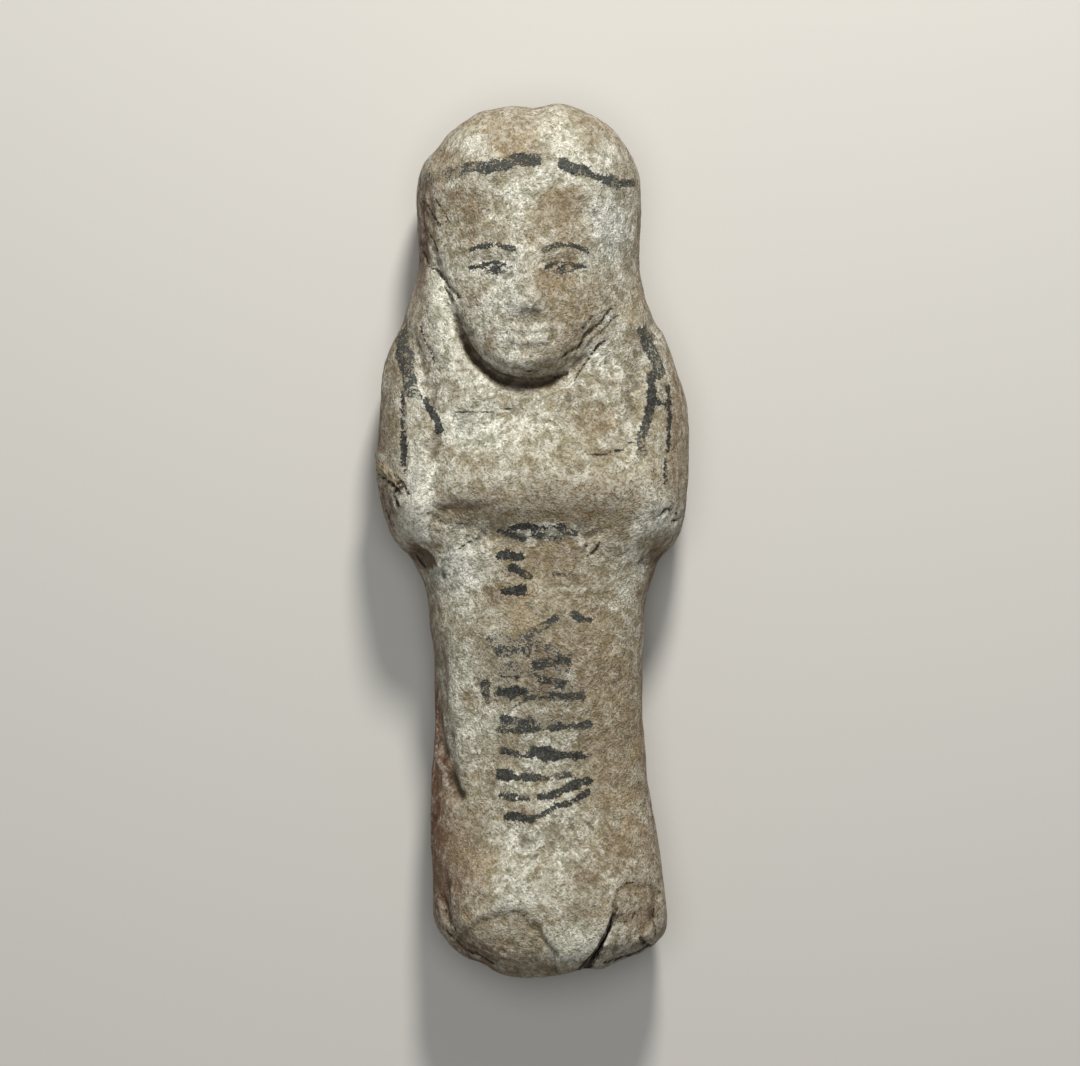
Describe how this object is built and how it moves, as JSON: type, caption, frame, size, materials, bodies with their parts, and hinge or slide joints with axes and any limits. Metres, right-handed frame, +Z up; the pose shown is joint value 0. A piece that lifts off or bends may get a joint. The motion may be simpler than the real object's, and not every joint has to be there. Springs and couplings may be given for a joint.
{
  "type": "ushabti figurine",
  "caption": "Small mummy-shaped clay tomb figure in a long wig with folded arms, lying on its flat back, with a painted headband and worn brush strokes down the front.",
  "frame": {"origin": "under the middle of the bounding box, on the flat back", "axes": "+Z up out of the front, +Y towards the crown of the head, +X to the viewer's right as it is seen from above"},
  "size_m": [0.0378, 0.105, 0.0244],
  "materials": {
    "clay": "matt hand-smoothed clay, worn and dusty, with rubbed black ink"
  },
  "bodies": {
    "root": {"figurine": "clay"}
  },
  "joints": []
}
